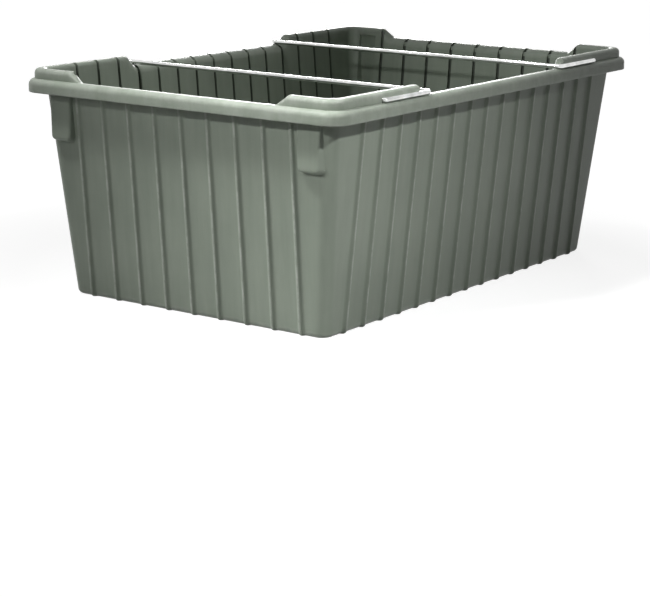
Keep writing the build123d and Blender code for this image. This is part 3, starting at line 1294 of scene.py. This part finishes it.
@dataclass
class RibField:
    """The outer ribs: one rib, repeated along the four walls by a geometry tree.

    half_section runs from the crest to the root: distance from the middle, as a share of the rib's half
    width, and share of its height. root is how far a rib is sunk into the wall, and heights are those of its
    sections in millimetres.
    """

    sizes: TubSizes
    wear_and_highlight: WearAndPaintedLight = WearAndPaintedLight()
    root: float = 0.4 * MM
    heights: Steps = (0.0, 0.3, 0.8, 1.5, 2.4, 3.4, 4.6, 6.0, 60.0, 115.0, 170.0, 225.5)
    half_section: tuple[Point, ...] = (
        (0.0, 1.0), (0.14, 0.99), (0.28, 0.955), (0.41, 0.885), (0.53, 0.78), (0.64, 0.645), (0.74, 0.50),
        (0.85, 0.35), (0.97, 0.22), (1.11, 0.12), (1.28, 0.05), (1.45, 0.015), (1.65, 0.0))

    def section(self) -> list[Point]:
        """Section of a rib from root to root: distance from its middle and share of its height."""
        half = [(self.sizes.rib_half_width * across, share) for across, share in self.half_section]
        return [(-across, share) for across, share in half[:0:-1]] + half

    def template(self) -> bpy.types.Object:
        """One rib on a wall that faces +X, with its foot at the origin.

        Returns:
            The rib's object.
        """
        s, section = self.sizes, self.section()
        sunk_sides = (section[-1][0], section[0][0])
        vertices = []
        for height in from_mm(self.heights):
            foot, back = edge_drop(height, s.rib_foot), edge_drop(height, s.base_edge)
            wall = height * s.lean - back
            stand = s.rib_height - foot + back
            vertices += [(wall + share * stand, side, height) for side, share in section]
            vertices += [(wall - self.root, side, height) for side in sunk_sides]
        # Crest wear, which also paints a highlight line along each rib's crest.
        worn = [max(share - self.wear_and_highlight.rib_start, 0.0) * self.wear_and_highlight.rib_gain for _, share in section]
        wear_and_highlight = np.tile(worn + [0.0] * len(sunk_sides), len(self.heights))
        faces = tube_faces(len(self.heights), len(section) + len(sunk_sides))
        return finish_mesh("rib", np.array(vertices), faces, {"wear_and_highlight": wear_and_highlight})

    def tree(self) -> bpy.types.NodeTree:
        """Geometry tree that repeats its mesh along the four walls.

        Returns:
            The tree, with counts, pitches and wall distances as named inputs.
        """
        sockets = (("Count", "NodeSocketInt"), ("Pitch", "NodeSocketFloat"), ("Distance", "NodeSocketFloat"))
        numbers = [(f"{kind} {what}", socket) for kind in ("End", "Side") for what, socket in sockets]
        kit, inputs = open_tree("rib_field", numbers)
        joined = kit.add("GeometryNodeJoinGeometry")
        for wall in Wall:
            kind = "End" if wall.is_end else "Side"
            count, pitch = inputs[f"{kind} Count"], inputs[f"{kind} Pitch"]
            spaces = kit.math("SUBTRACT", count, 1.0)
            start = kit.math("MULTIPLY", kit.math("MULTIPLY", spaces, pitch), -0.5)
            first = kit.add("ShaderNodeCombineXYZ", {"X": inputs[f"{kind} Distance"], "Y": start}).outputs[0]
            step = kit.add("ShaderNodeCombineXYZ", {"Y": pitch}).outputs[0]
            line = kit.add("GeometryNodeMeshLine", {"Count": count, "Start Location": first, "Offset": step})
            ribs = kit.add("GeometryNodeInstanceOnPoints",
                           {"Points": line.outputs[0], "Instance": inputs["Geometry"]})
            turned = kit.add("GeometryNodeTransform",
                             {"Geometry": ribs.outputs[0], "Rotation": (0.0, 0.0, wall.value)})
            kit.tree.links.new(turned.outputs[0], joined.inputs[0])
        return close_tree(kit, joined.outputs[0], inputs["Material"])

    def build(self, material: bpy.types.Material) -> bpy.types.Object:
        """Build all ribs as one mesh.

        Args:
            material: Finish of the ribs.

        Returns:
            The finished object.
        """
        s = self.sizes
        rib = self.template()
        add_node_modifier(rib, self.tree(), {
            "Material": material,
            "End Count": s.end_rib_count, "End Pitch": s.end_rib_pitch, "End Distance": s.base_reach,
            "Side Count": s.side_rib_count, "Side Pitch": s.side_rib_pitch,
            "Side Distance": s.base_reach - s.side_offset,
        })
        return bake(rib, "tub_ribs")


@dataclass
class Tub:
    """The one-piece moulding: its shell and its outer ribs."""

    sizes: TubSizes
    finish: MouldedPlastic = MouldedPlastic()

    def build(self) -> list[bpy.types.Object]:
        """Build, dress and fix the moulding to its body.

        Returns:
            Its pieces.
        """
        material = self.finish.build()
        shell = TubShell(self.sizes).build()
        shell.data.materials.append(material)
        ribs = RibField(self.sizes).build(material)
        for piece in (shell, ribs):
            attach(piece, Body.TUB.value)
        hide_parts("tub")
        return [shell, ribs]


@dataclass
class WireBail:
    """A bent wire: crossbar, two arms and two pins turned into the raised corners.

    It is drawn along a path of six points whose corners a geometry tree rounds.
    """

    body: Body
    finish: PlatedWire = PlatedWire()
    pin_reach: float = 4.0 * MM
    bend: float = 6.5 * MM
    pin_bend: float = 2.9 * MM
    bend_steps: int = 10
    round_steps: int = 24

    def path(self, tub: TubSizes) -> tuple[np.ndarray, np.ndarray, float]:
        """Corners of the wire's centre line, from the CAD node's box.

        Args:
            tub: Sizes of the moulding that holds it.

        Returns:
            The corners, the bend at each and the wire's diameter.
        """
        low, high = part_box(self.body.value)
        thick = high.z - low.z
        level = 0.5 * (low.z + high.z)
        inner, outer = sorted((low.x, high.x), key=abs)
        towards_end = 1.0 if outer > 0 else -1.0
        crossbar = inner + 0.5 * thick * towards_end
        pivot = outer - 0.5 * thick * towards_end
        arm = high.y - 0.5 * thick
        tip = 0.5 * tub.width - tub.ledge - tub.rim_shell - self.pin_reach
        half = [(pivot, tip), (pivot, arm), (crossbar, arm)]
        corners = [(x, -y) for x, y in half] + half[::-1]
        bends = [0.0, self.pin_bend, self.bend]
        return np.array([(x, y, level) for x, y in corners]), np.array(bends + bends[::-1]), thick

    def tree(self) -> bpy.types.NodeTree:
        """Geometry tree that rounds a path and draws a wire along it.

        Returns:
            The tree, with the wire's diameter and the steps of its bends and its round as named inputs.
        """
        numbers = [("Diameter", "NodeSocketFloat"), ("Bend Steps", "NodeSocketInt"),
                   ("Round Steps", "NodeSocketInt")]
        kit, inputs = open_tree("drawn_wire", numbers)
        curve = kit.add("GeometryNodeMeshToCurve", {0: inputs["Geometry"]})
        bend = kit.add("GeometryNodeInputNamedAttribute", {"Name": "bend"}, data_type="FLOAT")
        fillet = {"Curve": curve.outputs[0], "Radius": bend.outputs[0], "Count": inputs["Bend Steps"]}
        rounded = kit.add("GeometryNodeFilletCurve", fillet, mode="POLY")
        radius = kit.math("MULTIPLY", inputs["Diameter"], 0.5)
        ring = kit.add("GeometryNodeCurvePrimitiveCircle",
                       {"Resolution": inputs["Round Steps"], "Radius": radius})
        sweep = {"Curve": rounded.outputs[0], "Profile Curve": ring.outputs[0], "Fill Caps": True}
        wire = kit.add("GeometryNodeCurveToMesh", sweep)
        smooth = kit.add("GeometryNodeSetShadeSmooth", {"Geometry": wire.outputs[0]})
        return close_tree(kit, smooth.outputs[0], inputs["Material"])

    def build(self, tub: TubSizes) -> bpy.types.Object:
        """Build, dress and fix the wire to its body.

        Args:
            tub: Sizes of the moulding that holds it.

        Returns:
            The finished object.
        """
        corners, bends, thick = self.path(tub)
        name = f"{self.body.value}_wire"
        mesh = bpy.data.meshes.new(name)
        mesh.from_pydata(corners.tolist(), [(step, step + 1) for step in range(len(corners) - 1)], [])
        add_marks(mesh, {"bend": bends})
        source = new_object(name + "_path", mesh)
        add_node_modifier(source, self.tree(), {
            "Material": self.finish.build(), "Diameter": thick,
            "Bend Steps": self.bend_steps, "Round Steps": self.round_steps,
        })
        wire = bake(source, name)
        wire.data.set_sharp_from_angle(angle=WIRE_CREASE)
        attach(wire, self.body.value)
        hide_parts(self.body.value)
        return wire


@dataclass(frozen=True)
class SoftLight:
    """A soft box: where it hangs, what it is aimed at, its size, its power and its spread in degrees."""

    name: str
    place: Triple
    aim: Triple
    size: Point
    power: float
    spread: float

    def build(self) -> bpy.types.Object:
        """Hang the light.

        Returns:
            The light's object.
        """
        lamp = bpy.data.lights.new(self.name, "AREA")
        lamp.shape = "RECTANGLE"
        lamp.size, lamp.size_y = self.size
        lamp.energy = self.power
        lamp.spread = math.radians(self.spread)
        light = new_object(self.name, lamp)
        direction = Vector(self.aim) - Vector(self.place)
        light.location = self.place
        light.rotation_euler = direction.to_track_quat("-Z", "Y").to_euler()
        return light


@dataclass(frozen=True)
class Viewpoint:
    """The photograph's camera: place in metres, angles in degrees and focal length in pixels of its frame."""

    place: Triple = (-1.7641, -1.2117, 0.4855)
    yaw: float = 34.9537
    pitch: float = 13.6251
    roll: float = 0.6458
    focal_pixels: float = 1947.33
    frame_width: float = 650.0
    sensor: float = 36.0
    nearest: float = 0.01

    def build(self) -> bpy.types.Object:
        """Set up the camera.

        Returns:
            The camera's object.
        """
        yaw, pitch, roll = (math.radians(angle) for angle in (self.yaw, self.pitch, self.roll))
        ahead = Vector((math.cos(yaw) * math.cos(pitch), math.sin(yaw) * math.cos(pitch), -math.sin(pitch)))
        level = Vector((math.sin(yaw), -math.cos(yaw), 0.0))
        upright = level.cross(ahead)
        right = math.cos(roll) * level + math.sin(roll) * upright
        up = right.cross(ahead)
        lens = bpy.data.cameras.new("photo_camera")
        lens.sensor_width = self.sensor
        lens.lens = self.focal_pixels * self.sensor / self.frame_width
        lens.clip_start = self.nearest
        camera = new_object("photo_camera", lens)
        turn = Matrix((right, up, -ahead)).transposed().to_4x4()
        camera.matrix_world = Matrix.Translation(self.place) @ turn
        return camera


@dataclass(frozen=True)
class Studio:
    """Plain pale floor, soft boxes round the object, white surroundings and the camera."""

    floor_half: float = 8.0
    ambient: float = 0.01
    lights: tuple[SoftLight, ...] = (
        SoftLight("high_left_box", (-0.93, 0.6, 2.0), (-0.283, -0.22, 0.14), (0.4, 0.4), 2.0, 31.0),
        SoftLight("left_box", (-2.09, 0.4, 1.32), (-0.283, -0.24, 0.14), (0.3, 0.1), 0.6, 25.0),
        SoftLight("low_left_box", (-2.35, 0.18, 0.93), (0.28, 0.02, 0.215), (0.3, 0.06), 0.06, 11.0),
        SoftLight("right_box", (-0.2, -1.75, 1.54), (-0.32, -0.183, 0.16), (0.2, 0.12), 0.9, 29.0),
        SoftLight("back_box", (1.7, 1.2, 0.75), (0.1, 0.08, 0.1), (0.8, 0.5), 3.5, 60.0),
        SoftLight("top_box", (-0.3, -0.3, 2.2), (-0.1, -0.1, 0.2), (1.2, 1.2), 4.0, 150.0),
    )

    def build(self) -> None:
        """Lay the floor, hang the lights, set the surroundings and place the camera."""
        half = self.floor_half
        corners = np.array([(-half, -half, 0.0), (half, -half, 0.0), (half, half, 0.0), (-half, half, 0.0)])
        floor = finish_mesh("floor", corners, [tuple(range(len(corners)))], {})
        floor.data.materials.append(PaleFloor().build())
        for light in self.lights:
            light.build()
        self.surroundings()
        scene = bpy.context.scene
        scene.camera = Viewpoint().build()
        scene.view_settings.view_transform = "Standard"

    def surroundings(self) -> None:
        """White surroundings to the camera, a dimmer even light to the object."""
        world = bpy.data.worlds.new("white_room")
        bpy.context.scene.world = world
        world.use_nodes = True
        world.node_tree.nodes.clear()
        tree = NodeTree(world.node_tree)
        strength = tree.spread(seen_directly(tree), NONE_TO_FULL, (self.ambient, 1.0))
        glow = tree.add("ShaderNodeBackground", {"Color": WHITE, "Strength": strength})
        tree.add("ShaderNodeOutputWorld", {"Surface": glow.outputs[0]})


def main() -> None:
    """Build the tote's pieces in order, report each, and set up the studio."""
    logging.basicConfig(level=logging.INFO, format="%(name)s: %(message)s")
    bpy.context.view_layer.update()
    sizes = TubSizes.from_cad("tub")
    pieces = Tub(sizes).build()
    for body in (Body.FRONT_BAIL, Body.REAR_BAIL):
        pieces.append(WireBail(body).build(sizes))
    for piece in pieces:
        LOG.info("%s: %d faces", piece.name, len(piece.data.polygons))
    Studio().build()


if __name__ == "__main__":
    main()
